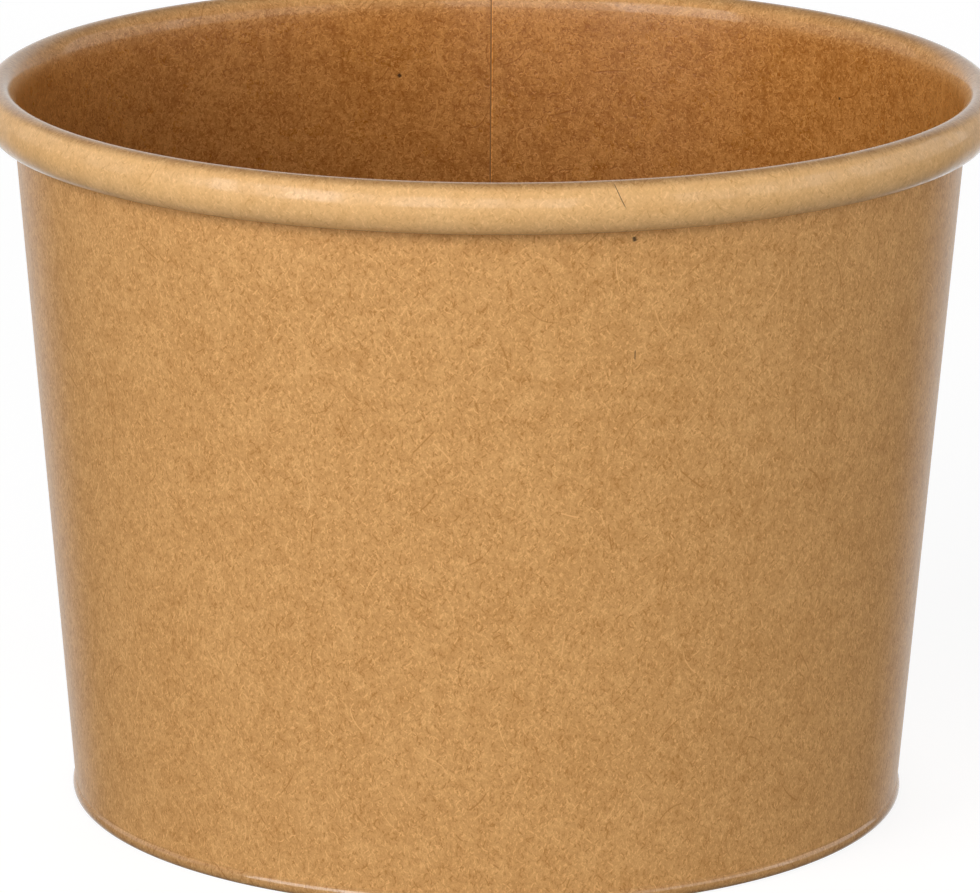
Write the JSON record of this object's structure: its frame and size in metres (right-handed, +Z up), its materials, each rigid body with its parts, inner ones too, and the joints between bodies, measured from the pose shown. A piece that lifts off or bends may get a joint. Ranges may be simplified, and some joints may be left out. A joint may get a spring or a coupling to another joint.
{
  "type": "paper soup bowl",
  "caption": "Round tapered kraft-board soup bowl with a hollow rolled rim, a lapped side seam, a folded foot hem and a recessed sealed base.",
  "frame": {"origin": "centre of the foot ring, on the surface that the bowl stands on", "axes": "+Z up along the bowl's axis, the side seam towards +Y"},
  "size_m": [0.09, 0.09, 0.0652],
  "materials": {
    "kraft_wall": "satin",
    "kraft_base": "satin"
  },
  "bodies": {
    "root": {"side_wall": "kraft_wall", "base_disc": "kraft_base"}
  },
  "joints": []
}
